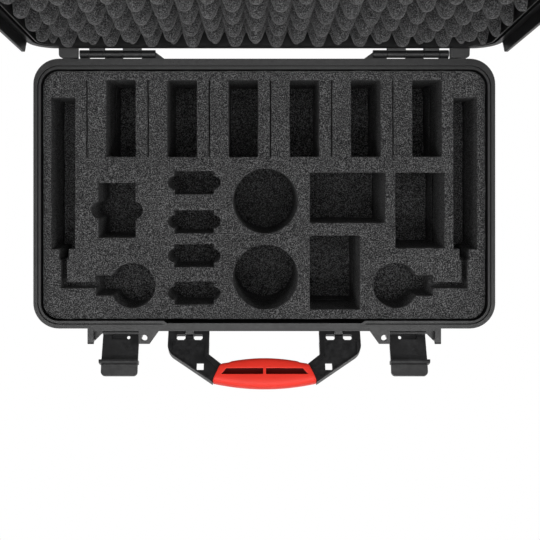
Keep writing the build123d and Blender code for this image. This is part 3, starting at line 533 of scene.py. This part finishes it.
def rectangle(left, right, front, back, radius=1.5):
    centre = ((left + right) / 2, (front + back) / 2)
    return rounded_outline(right - left, back - front, radius, centre, 2.5)


through = [
    rectangle(x - SLOT_WIDTH / 2, x + SLOT_WIDTH / 2, SLOT_FRONT, SLOT_BACK) for x in SLOT_X
]
slit_places = [x - SLIT_OFFSET for x in SLOT_X]
slits = [
    rectangle(x - SLIT_HALF, x + SLIT_HALF, SLOT_FRONT, SLOT_BACK, 0.55) for x in slit_places
]
rounds = [circle((1.5, y), 36.6) for y in (-8.6, -94.8)]
boxes = [
    rectangle(51.8, 137.0, -33.3, 23.6),
    rectangle(51.8, 108.4, -131.4, -47.9),
    rectangle(148.8, 204.4, -61.8, 23.6),
]
notch_pocket = notched((-167.0, -19.1), 41.8, 62.2, 9.7, 8.5)
small_pockets = [notched((-79.5, y), 44.6, 26.0, 7.4, 7.4) for y in (12.2, -31.9, -70.4, -113.0)]

# The linked pocket at the right end, with the x of each step inwards from the case's end
END_X, END_HALF, END_FRONT, END_BACK = 228.0, 13.4, -63.2, 108.6
THROAT_X, THROAT_HALF, THROAT_END = 227.1, 5.4, -75.5
CHANNEL_X, CHANNEL_HALF, CHANNEL_Y = 227.3, 3.4, -104.0
CHANNEL_IN, CHANNEL_OUT = CHANNEL_X - CHANNEL_HALF, CHANNEL_X + CHANNEL_HALF
CHANNEL_FRONT, CHANNEL_BACK = CHANNEL_Y - CHANNEL_HALF, CHANNEL_Y + CHANNEL_HALF
PLUG_END, PLUG_HALF = 191.2, 11.55
ROUND_X, ROUND_Y, ROUND_R = 149.2, -104.4, 25.5


def for_side(line, side):
    """The line spread with points, mirrored for the left side."""
    line = spread(line, 2.5)
    return line if side > 0 else [(-x, y) for x, y in reversed(line)]


def linked_pocket(side):
    """The whole linked line of one side, counter-clockwise."""
    join = math.degrees(math.asin(PLUG_HALF / ROUND_R))
    line = [(END_X + END_HALF, END_FRONT), (END_X + END_HALF, END_BACK)]
    line += [(END_X - END_HALF, END_BACK), (END_X - END_HALF, END_FRONT)]
    line += [(THROAT_X - THROAT_HALF, END_FRONT), (THROAT_X - THROAT_HALF, THROAT_END)]
    line += [(CHANNEL_IN, THROAT_END), (CHANNEL_IN, CHANNEL_BACK)]
    line += [(PLUG_END, CHANNEL_BACK), (PLUG_END, ROUND_Y + PLUG_HALF)]
    line += arc((ROUND_X, ROUND_Y), ROUND_R, join, 360 - join)
    line += [(PLUG_END, ROUND_Y - PLUG_HALF), (PLUG_END, CHANNEL_FRONT)]
    line += [(CHANNEL_OUT, CHANNEL_FRONT), (CHANNEL_OUT, THROAT_END)]
    line += [(THROAT_X + THROAT_HALF, THROAT_END), (THROAT_X + THROAT_HALF, END_FRONT)]
    return for_side(line, side)


def tall_pocket(side):
    """The part of the linked pocket that is cut right through: end pocket and throat."""
    line = [(END_X + END_HALF, END_FRONT), (END_X + END_HALF, END_BACK)]
    line += [(END_X - END_HALF, END_BACK), (END_X - END_HALF, END_FRONT)]
    line += [(THROAT_X - THROAT_HALF, END_FRONT), (THROAT_X - THROAT_HALF, THROAT_END)]
    line += [(CHANNEL_IN, THROAT_END), (CHANNEL_OUT, THROAT_END)]
    line += [(THROAT_X + THROAT_HALF, THROAT_END), (THROAT_X + THROAT_HALF, END_FRONT)]
    return for_side(line, side)


def plug_pocket(side):
    """The round pocket with its plug end."""
    join = math.degrees(math.asin(PLUG_HALF / ROUND_R))
    line = [(PLUG_END, CHANNEL_FRONT), (PLUG_END, CHANNEL_BACK)]
    line += [(PLUG_END, ROUND_Y + PLUG_HALF)]
    line += arc((ROUND_X, ROUND_Y), ROUND_R, join, 360 - join)
    line += [(PLUG_END, ROUND_Y - PLUG_HALF)]
    return for_side(line, side)


linked = [linked_pocket(side) for side in (-1, 1)]
tall = [tall_pocket(side) for side in (-1, 1)]
plugs = [plug_pocket(side) for side in (-1, 1)]

# %% [markdown]
# ## A slab of foam
#
# A slab is a sheet of triangles on top and underneath, with the pockets left out, and a wall
# along each closed line. The sheet has its own inner points, so that it can be uneven: the foam
# is soft, so its top rises and sinks by half a millimetre, its cut walls waver, and the edge of
# each pocket is rounded over.


# %%
def inside(point, line):
    """Whether a point lies within a closed line."""
    x, y = point
    found = False
    for (x0, y0), (x1, y1) in zip(line, line[1:] + line[:1]):
        if (y0 > y) != (y1 > y) and x < (x1 - x0) * (y - y0) / (y1 - y0) + x0:
            found = not found
    return found


def near(point, line, reach):
    """Whether a point lies close to a closed line's points."""
    return any(abs(point[0] - x) < reach and abs(point[1] - y) < reach for x, y in line)


def sheet_points(outer, holes, step):
    """Grid points inside the outer line, clear of the holes."""
    found = []
    across = math.ceil(CASE_LENGTH / step)
    for i in range(across):
        for j in range(math.ceil(CASE_WIDTH / step)):
            x = -CASE_LENGTH / 2 + i * step + (j % 2) * step / 2
            y = -CASE_WIDTH / 2 + j * step
            if not inside((x, y), outer) or near((x, y), outer, step * 0.6):
                continue
            blocked = False
            for hole in holes:
                xs = [p[0] for p in hole]
                ys = [p[1] for p in hole]
                if min(xs) - step < x < max(xs) + step and min(ys) - step < y < max(ys) + step:
                    if inside((x, y), hole) or near((x, y), hole, step * 0.6):
                        blocked = True
                        break
            if not blocked:
                found.append((x, y))
    return found


def lay_sheet(bm, outer, holes, height, step, loops):
    """Triangles between the outer line and the holes, on the vertices of the given loops."""
    lines = [outer] + holes
    points, edges, verts = [], [], []
    for line, loop in zip(lines, loops):
        start = len(points)
        points += [Vector(p) for p in line]
        verts += loop
        edges += [(start + i, start + (i + 1) % len(line)) for i in range(len(line))]
    for p in sheet_points(outer, holes, step):
        points.append(Vector(p))
        verts.append(bm.verts.new((p[0] * MM, p[1] * MM, height * MM)))
    made = delaunay_2d_cdt(points, edges, [], 0, 1e-5)
    new_points, _, faces, originals = made[0], made[1], made[2], made[3]
    for face in faces:
        middle = sum((new_points[i] for i in face), Vector((0.0, 0.0))) / len(face)
        if not inside(middle, outer) or any(inside(middle, hole) for hole in holes):
            continue
        corners = [verts[originals[i][0]] for i in face if originals[i]]
        if len(set(corners)) == 3:
            try:
                bm.faces.new(corners)
            except ValueError:
                pass


def ring(bm, line, height):
    return [bm.verts.new((x * MM, y * MM, height * MM)) for x, y in line]


def bridge(bm, first, second):
    count = len(first)
    for i in range(count):
        j = (i + 1) % count
        bm.faces.new((first[i], first[j], second[j], second[i]))


def wall(bm, line, top, bottom, edge, lean=0.0, outwards=1.0, step=7.0):
    """Rings down a closed line, rounded over at the top.

    Returns its first and last rings, each with the line that it follows."""
    rounding = ((1.0, 0.0), (0.5, 0.134), (0.134, 0.5), (0.0, 1.0)) if edge > 0 else ((0.0, 0.0),)
    levels = [(edge * outwards * out, top - edge * down) for out, down in rounding]
    low = levels[-1][1]
    count = max(1, round((low - bottom) / step))
    levels += [(0.0, low + (bottom - low) * i / count) for i in range(1, count + 1)]
    lines = [grown(line, grow - (top - height) * lean) for grow, height in levels]
    rings = [ring(bm, moved, height) for moved, (_, height) in zip(lines, levels)]
    for first, second in zip(rings, rings[1:]):
        bridge(bm, first, second)
    return (lines[0], rings[0]), (lines[-1], rings[-1])


def layer_outline(top):
    """The foam's outline at a height, inside the sloping tub."""
    inset = CAVITY_INSET + 1.0 + (BASE_HEIGHT - top) * math.tan(math.radians(DRAFT))
    return rounded_outline(
        CASE_LENGTH - 2 * inset,
        CASE_WIDTH - 2 * inset - BACK_EXTRA,
        max(RIM_RADIUS - inset, 4.0),
        (0.0, -BACK_EXTRA / 2),
        3.0,
    )


LEAN = math.tan(math.radians(DRAFT))


def soften(bm):
    """Move every vertex a little by smooth noise, more across the walls than on the flat top."""
    for v in bm.verts:
        p = v.co / MM
        # Long waves, with shorter ones on them from another part of the noise
        short = noise.noise_vector(p * 0.14 + Vector((9, 2, 5)))
        wave = noise.noise_vector(p * 0.045) + 0.4 * short
        depth = min(1.0, max(0.0, (FOAM_TOP - p.z) / 12.0))
        across = 0.35 + 0.5 * depth
        v.co += Vector((wave.x * across, wave.y * across, wave.z * 0.45)) * MM


def lay(bm, height, step, outer, holes=()):
    """A sheet between an outer (line, ring) and the (line, ring) of each hole."""
    lines = [line for line, _ in holes]
    rings = [outer[1]] + [ring_of_hole for _, ring_of_hole in holes]
    lay_sheet(bm, outer[0], lines, height, step, rings)


def foam_slab(name, top, bottom, holes, floors, joined, edge, step, node):
    """One layer, between two heights.

    Holes go right through, floors are (line, depth) pockets with a floor of their own, and joined
    are (whole line, its depth, through line, (line, depth)) pockets. The edge is the rounding at
    the top, and the step is the spacing of the sheets' inner points."""
    bm = bmesh.new()
    rim, foot = wall(bm, layer_outline(top), top, bottom, edge, LEAN, -1.0)
    heads, tails = [], []
    for line in holes:
        head, tail = wall(bm, line, top, bottom, edge)
        heads.append(head)
        tails.append(tail)
    for line, depth in floors:
        head, tail = wall(bm, line, top, top - depth, edge)
        heads.append(head)
        lay(bm, top - depth, step, tail)
    for whole, depth, open_line, (floored_line, floor_depth) in joined:
        head, ledge = wall(bm, whole, top, top - depth, edge)
        heads.append(head)
        open_head, open_tail = wall(bm, open_line, top - depth, bottom, 0.0)
        low_head, low_tail = wall(bm, floored_line, top - depth, top - floor_depth, 0.0)
        lay(bm, top - depth, step, ledge, [open_head, low_head])
        lay(bm, top - floor_depth, step, low_tail)
        tails.append(open_tail)
    lay(bm, top, step, rim, heads)
    lay(bm, bottom, 4 * step, foot, tails)
    bmesh.ops.remove_doubles(bm, verts=bm.verts, dist=0.00002)
    soften(bm)
    piece = finish_piece(name, bm, "base", FOAM, node)
    return piece


deep = through + rounds + boxes
linked_pockets = [
    (linked[i], 25.0, tall[i], (plugs[i], 60.0)) for i in range(2)
]
foam_slab(
    "foam_top_cut",
    FOAM_TOP,
    MID_TOP,
    deep + slits + [notch_pocket],
    [(line, 60.0) for line in small_pockets],
    linked_pockets,
    0.9,
    4.5,
    "foam_top_layer",
)
foam_slab(
    "foam_mid_cut",
    MID_TOP,
    PAD_TOP,
    deep,
    [(notch_pocket, 15.0)],
    [],
    0.0,
    8.0,
    "foam_mid_layer",
)
foam_slab("foam_pad_cut", PAD_TOP, FLOOR, [], [], [], 0.0, 8.0, "foam_bottom_pad")

# %% [markdown]
# ## Egg-crate foam in the lid
#
# It is cut from a block by rollers that squeeze it, which leaves staggered rows of round-tipped
# fingers with soft valleys between them. The pad's edge cuts through one more row at the hinge
# side, squeezed against the row before it. One height is worked out for each point: a cone with a
# ball on its end round every finger, joined by a smooth maximum. Each finger leans and stands a
# little differently.

# %%
LID_TOP, LID_WALL = BASE_HEIGHT + 60.0, 3.5
VALLEY_HEIGHT = 27.0
VALLEY = BASE_HEIGHT + VALLEY_HEIGHT
LID_LEAN = math.tan(math.radians(3.0))
# The lid's cavity is smaller than the base's by a clearance and a lip, and the foam by a side gap
CLEARANCE, LIP, SIDE_GAP = 1.0, 1.4, 1.0
LID_FOAM_INSET = CAVITY_INSET + CLEARANCE + LIP + SIDE_GAP + VALLEY_HEIGHT * LID_LEAN
TALLEST = 29.9
PITCH, ROW_PITCH, FIRST_ROW, CENTRE_SHIFT = 46.3, 23.15, 135.0, 13.65
CUT_ROW, CUT_ROW_SCALE = 141.5, 0.98
TIP_RADIUS, TIP_MIDDLE, TIP_EDGE, SIDE_SLOPE = 7.6, 22.4, 7.1, 2.8
BLEND = 1.0


def finger(distance):
    """A finger's height above the valleys at this distance from its middle."""
    if distance < TIP_EDGE:
        return TIP_MIDDLE + math.sqrt(TIP_RADIUS**2 - distance**2)
    edge = TIP_MIDDLE + math.sqrt(TIP_RADIUS**2 - TIP_EDGE**2)
    return edge - SIDE_SLOPE * (distance - TIP_EDGE)


def make_fingers():
    """Each finger's row, place and small differences."""
    made = {}
    chance = random.Random(11)
    for row in range(-1, 14):
        for column in range(-7, 8):
            x = CENTRE_SHIFT - (row % 2) * PITCH / 2 + column * PITCH
            y = FIRST_ROW - row * ROW_PITCH
            if row < 0:
                x, y = x * CUT_ROW_SCALE, CUT_ROW
            shift = (chance.uniform(-0.8, 0.8), chance.uniform(-0.6, 0.6))
            made[row, column] = (x + shift[0], y + shift[1], chance.uniform(-0.9, 0.3))
    return made


FINGERS = make_fingers()


def egg_crate(x, y):
    """The foam's height above its valleys."""
    row = round((FIRST_ROW - y) / ROW_PITCH)
    total = math.exp(-1.0 / BLEND)
    for r in (row - 1, row, row + 1):
        column = round((x - CENTRE_SHIFT + (r % 2) * PITCH / 2) / PITCH)
        for c in (column - 1, column, column + 1):
            if (r, c) in FINGERS:
                fx, fy, tall_by = FINGERS[r, c]
                distance = math.hypot(x - fx, y - fy)
                if distance < 26:
                    total += math.exp((finger(distance) + tall_by) / BLEND)
    return BLEND * math.log(total)


def lid_foam():
    bm = bmesh.new()
    outline = rounded_outline(
        CASE_LENGTH - 2 * LID_FOAM_INSET,
        CASE_WIDTH - 2 * LID_FOAM_INSET - BACK_EXTRA,
        RIM_RADIUS - LID_FOAM_INSET + 1.0,
        (0.0, -BACK_EXTRA / 2),
        2.0,
    )
    rim = ring(bm, outline, VALLEY)
    lay_sheet(bm, outline, [], VALLEY, 2.0, [rim])
    for v in bm.verts:
        x, y = v.co.x / MM, v.co.y / MM
        rough = noise.noise(Vector((x, y, 0.0)) * 0.35) * 0.3
        v.co.z = (VALLEY - min(egg_crate(x, y) + rough, TALLEST)) * MM
    # Sides up to the lid's ceiling, leaning with its draft, and a plain back
    ceiling = LID_TOP - LID_WALL
    previous, previous_line = rim, outline
    for i in range(1, 6):
        line = grown(outline, -(ceiling - VALLEY) * LID_LEAN * i / 5)
        low = [v.co.z / MM for v in rim]
        made = []
        for (x, y), start in zip(line, low):
            height = start + (ceiling - start) * i / 5
            made.append(bm.verts.new((x * MM, y * MM, height * MM)))
        bridge(bm, previous, made)
        previous, previous_line = made, line
    lay_sheet(bm, previous_line, [], ceiling, 12.0, [previous])
    piece = finish_piece(
        "lid_foam_cut", bm, "lid", LID_FOAM, "lid_foam", turn=LID_TURN
    )
    return piece


lid_foam()

# %% [markdown]
# ## Grip
#
# A soft sleeve round the handle's bar. It is lofted along X from rounded cross-sections that are
# widest in the middle. Two long grooves are pressed into its top: close pairs of vertices at their
# edges make steep walls, and their floors and walls are painted a darker red as painted shade.

# %%
# Distances are from the handle's pivot, for the sleeve's near and far edges and the grooves
GRIP_HALF, GRIP_SLANT = 57.4, 9.0
NEAR_MIDDLE, NEAR_END, FAR_MIDDLE, FAR_END = 30.7, 37.1, 64.4, 57.9
GRIP_HEIGHT, GRIP_THINNING, END_ROUND, END_SHRINK = 8.95, 0.06, 1.8, 0.07
GROOVE_LOW, GROOVE_HIGH, GROOVE_DEPTH = 0.44, 0.66, 5.0
GROOVE_NEAR, GROOVE_FAR = 44.4, 50.8
GROOVE_START, GROOVE_END, GROOVE_SLANT = 1.9, 50.5, 3.4


def bow(share, middle, end):
    """A shallow arc between its middle value and the value at both ends."""
    return middle + (end - middle) * share**2


def with_steps(values, steps, reach):
    """Sorted values with a close pair round each step, so that the step is a steep wall."""
    kept = [v for v in values if all(abs(v - step) > 2.5 * reach for step in steps)]
    for step in steps:
        kept += [step - reach, step + reach]
    return sorted(kept)


def crown(across):
    """The share of the full height at a share across the grip."""
    return max(0.0, 1.0 - abs(2.0 * across - 1.0) ** 3.6) ** 0.31


def bent(across, low, high):
    """Moves the groove's edges in a cross-section to the given shares across."""
    if across < GROOVE_LOW:
        return across * low / GROOVE_LOW
    if across < GROOVE_HIGH:
        return low + (across - GROOVE_LOW) * (high - low) / (GROOVE_HIGH - GROOVE_LOW)
    return high + (across - GROOVE_HIGH) * (1.0 - high) / (1.0 - GROOVE_HIGH)


def in_groove(x, across):
    return GROOVE_START < abs(x) < GROOVE_END and GROOVE_LOW < across < GROOVE_HIGH


def grip():
    bm = bmesh.new()
    ends = [side * step for side in (-1, 1) for step in (GROOVE_START, GROOVE_END)]
    places = [-GRIP_HALF + 2.0 * GRIP_HALF * i / 100 for i in range(101)]
    sides = [0.5 - 0.5 * math.cos(math.pi * i / 44) for i in range(45)]
    half = with_steps(sides, (GROOVE_LOW, GROOVE_HIGH), 0.005)
    rings = []
    for place in with_steps(places, ends, 0.12):
        share = place / GRIP_HALF
        near_x = share * (GRIP_HALF - GRIP_SLANT)
        far_x = place
        near_y = bow(abs(share), NEAR_MIDDLE, NEAR_END)
        far_y = bow(abs(share), FAR_MIDDLE, FAR_END)
        low = (GROOVE_NEAR - near_y) / (far_y - near_y)
        high = (GROOVE_FAR - near_y) / (far_y - near_y)
        # The ends are rounded over, and the sleeve is a little thinner towards them
        end = min(1.0, (1.0 - abs(share)) * GRIP_HALF / END_ROUND)
        close = 1.0 - END_SHRINK * (1.0 - math.sqrt(max(0.0, 1.0 - (1.0 - end) ** 2)))
        thick = GRIP_HEIGHT * (1.0 - GRIP_THINNING * share**2) * close
        made = []
        for up, points in ((1.0, half), (-1.0, half[-2:0:-1])):
            for across in points:
                moved = bent(across, low, high)
                mixed = 0.5 + (moved - 0.5) * close
                x = near_x + (far_x - near_x) * mixed
                y = near_y + (far_y - near_y) * mixed
                # The grooves' outer ends are slanted like the sleeve's
                inwards = min(1.0, max(0.0, (high - moved) / (high - low)))
                slide = max(0.0, 1.0 - abs(abs(place) - GROOVE_END) / 7.0) * GROOVE_SLANT
                x -= math.copysign(slide * inwards, place)
                z = up * thick * crown(moved)
                if up > 0 and in_groove(place, across):
                    z -= GROOVE_DEPTH
                made.append(bm.verts.new(HANDLE + Vector((x, -y, z)) * MM))
        rings.append(made)
    for first, second in zip(rings, rings[1:]):
        bridge(bm, first, second)
    bm.faces.new(rings[0])
    bm.faces.new(list(reversed(rings[-1])))
    piece = finish_piece(
        "grip_sleeve", bm, "handle", GRIP, "handle_grip", turn=HANDLE_TURN
    )
    # Faces in the grooves take the darker material: painted shade
    piece.data.materials.append(GROOVE_PAINTED_SHADE)
    back = HANDLE_TURN.inverted()
    for face in piece.data.polygons:
        middle = (back @ face.center - HANDLE) / MM
        top = GRIP_HEIGHT * (1.0 - GRIP_THINNING * (middle.x / GRIP_HALF) ** 2)
        in_length = GROOVE_START - 0.3 < abs(middle.x) < GROOVE_END + 0.3
        if in_length and 43.0 < -middle.y < 53.0 and 0 < middle.z < top - 1.2:
            face.material_index = 1
    return piece


grip()

# %% [markdown]
# ## Moulded pieces
#
# The shells, levers, handle frame and valve keep the CAD shapes. Each is copied, merged and given
# small rounded edges, because it is the light on those edges that makes plastic look moulded.

# %%
dressed("base_shell", "base", SHELL, 0.5)
dressed("lid_shell", "lid", SHELL, 0.5)
dressed("latch_lever_left", "latch_left", FITTING, 0.6, 3)
dressed("latch_lever_right", "latch_right", FITTING, 0.6, 3)
dressed("handle_frame", "handle", FITTING, 0.7, 3)
dressed("valve_body", "base", FITTING, 0.4)
dressed("valve_cap", "base", FITTING, 0.4)
dressed("lid_seal", "lid", SEAL, 0.5)
dressed("valve_seal", "base", SEAL, 0.2)
for pin in ("hinge_pin", "latch_pin", "handle_pin"):
    for side in ("left", "right"):
        dressed(f"{pin}_{side}", "base", STEEL, 0.3)

# %% [markdown]
# ## Studio
#
# The floor and the backdrop are white to the camera and pale grey to everything else, as in a
# packshot that has been cut out. The light is soft: a large panel overhead, a narrow one that the
# glossy front rim mirrors towards the camera, a low one in front that lights the pockets' back
# walls and the lid's foam, and one at each side.


# %%
def studio_white():
    material, nodes, shader, place = new_material("studio_white")
    tree = material.node_tree
    fine = nodes.noise(place, 25.0, 3.0, 0.5)
    colour = nodes.ramp(fine, [(0.3, (0.78, 0.78, 0.78)), (0.7, (0.82, 0.82, 0.82))])
    nodes.put(shader, "Base Color", colour)
    nodes.put(shader, "Roughness", 0.9)
    glow = nodes.add("ShaderNodeEmission", Strength=1.0)
    rays = nodes.add("ShaderNodeLightPath")
    mixer = nodes.add("ShaderNodeMixShader")
    tree.links.new(rays.outputs["Is Camera Ray"], mixer.inputs[0])
    tree.links.new(shader.outputs[0], mixer.inputs[1])
    tree.links.new(glow.outputs[0], mixer.inputs[2])
    out = next(node for node in tree.nodes if node.type == "OUTPUT_MATERIAL")
    tree.links.new(mixer.outputs[0], out.inputs[0])
    return material


def make_floor():
    bm = bmesh.new()
    bmesh.ops.create_grid(bm, x_segments=24, y_segments=24, size=4.0)
    mesh = bpy.data.meshes.new("studio_floor")
    bm.to_mesh(mesh)
    bm.free()
    floor = bpy.data.objects.new("studio_floor", mesh)
    bpy.context.scene.collection.objects.link(floor)
    mesh.materials.append(studio_white())


make_floor()


def panel(name, place, target, size, power):
    """An area light that faces a point."""
    light = bpy.data.lights.new(name, "AREA")
    light.shape = "RECTANGLE"
    light.size, light.size_y = size
    light.energy = power
    lamp = bpy.data.objects.new(name, light)
    lamp.location = place
    lamp.rotation_euler = (Vector(target) - Vector(place)).to_track_quat("-Z", "Y").to_euler()
    bpy.context.scene.collection.objects.link(lamp)
    return lamp


panel("overhead", (0.0, 0.15, 2.3), (0.0, 0.0, 0.1), (1.6, 0.9), 11.0)
panel("front", (0.0, -0.47, 1.5), (0.0, -0.15, 0.13), (1.5, 0.22), 6.0)
panel("low_front", (0.0, -1.7, 1.3), (0.0, 0.0, 0.13), (1.6, 0.8), 6.5)
for end in (-1, 1):
    panel("side", (end * 1.45, -0.1, 1.25), (0.0, 0.0, 0.13), (0.9, 1.1), 10.5)

world = bpy.data.worlds.new("studio")
world.use_nodes = True
bpy.context.scene.world = world
back = world.node_tree.nodes["Background"]
back.inputs["Color"].default_value = (1.0, 1.0, 1.0, 1.0)
# Dim to everything but the camera, which sees it as white as the floor
rays = world.node_tree.nodes.new("ShaderNodeLightPath")
strength = world.node_tree.nodes.new("ShaderNodeMath")
strength.operation = "MAXIMUM"
strength.inputs[1].default_value = 0.12
world.node_tree.links.new(rays.outputs["Is Camera Ray"], strength.inputs[0])
world.node_tree.links.new(strength.outputs[0], back.inputs["Strength"])

# %% [markdown]
# ## Camera
#
# The photograph was taken from straight above, a metre over the rim. The view is cut out of a
# larger frame, so the lens is shifted and not tilted: the pockets' walls all lean away from one
# point, which lies above the picture's middle.

# %%
PX_PER_TANGENT = 885.0
CENTRE_PX = (252.6, 166.7)
camera_data = bpy.data.cameras.new("camera")
camera_data.sensor_width = 36.0
camera_data.lens = PX_PER_TANGENT * 36.0 / 540.0
camera_data.shift_x = (270.0 - CENTRE_PX[0]) / 540.0
camera_data.shift_y = -(270.0 - CENTRE_PX[1]) / 540.0
camera = bpy.data.objects.new("camera", camera_data)
camera.location = (-0.0132, 0.0304, 1.134)
camera.rotation_euler = (0.0, 0.0, 0.0)
bpy.context.scene.collection.objects.link(camera)
bpy.context.scene.camera = camera
bpy.context.scene.view_settings.view_transform = "Standard"
